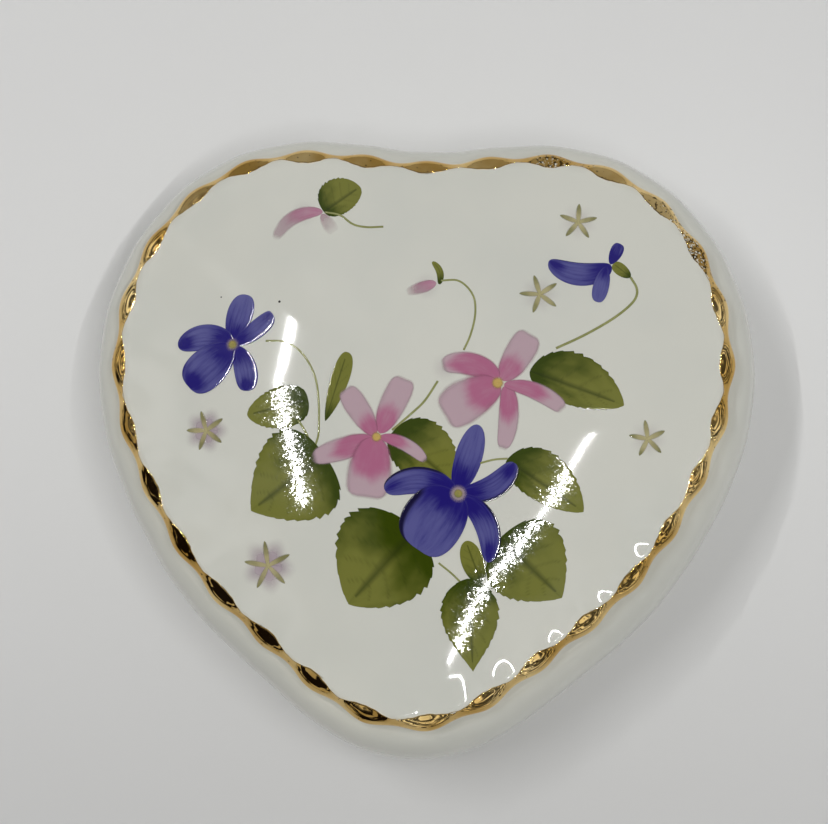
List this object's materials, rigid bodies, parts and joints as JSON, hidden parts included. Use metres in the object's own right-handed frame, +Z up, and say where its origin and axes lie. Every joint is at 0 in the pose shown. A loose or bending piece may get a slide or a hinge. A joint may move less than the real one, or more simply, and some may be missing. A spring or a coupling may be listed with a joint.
{
  "type": "porcelain trinket box",
  "caption": "Heart-shaped porcelain trinket box with a bellied base, a loose domed lid with a scalloped gilt edge, and a spray of violets in fired enamel.",
  "frame": {"origin": "middle of the box's extents in plan, on the surface that the foot ring stands on", "axes": "+X across the heart, +Y from the tip of the heart to its notch, +Z up through the lid"},
  "size_m": [0.0884, 0.0828, 0.0299],
  "materials": {
    "glazed_porcelain_base": "gloss",
    "glazed_porcelain_lid": "gloss",
    "fired_gold": "polished",
    "violet_blue_enamel": "gloss",
    "rose_pink_enamel": "gloss",
    "leaf_green_enamel": "satin",
    "stem_green_enamel": "gloss",
    "olive_enamel": "gloss",
    "yellow_enamel": "gloss"
  },
  "bodies": {
    "base": {"box_base": "glazed_porcelain_base"},
    "lid": {"box_lid": "glazed_porcelain_lid", "gilt_rim": "fired_gold", "blue_violet_enamel": "violet_blue_enamel", "pink_violet_enamel": "rose_pink_enamel", "leaf_enamel": "leaf_green_enamel", "stem_enamel": "stem_green_enamel", "star_blossom_enamel": "olive_enamel", "flower_centre_enamel": "yellow_enamel"}
  },
  "joints": [
    {"name": "lid_lift", "type": "slide", "parent": "base", "child": "lid", "axis": [0, 0, 1], "range_m": [0, 0.06]}
  ]
}
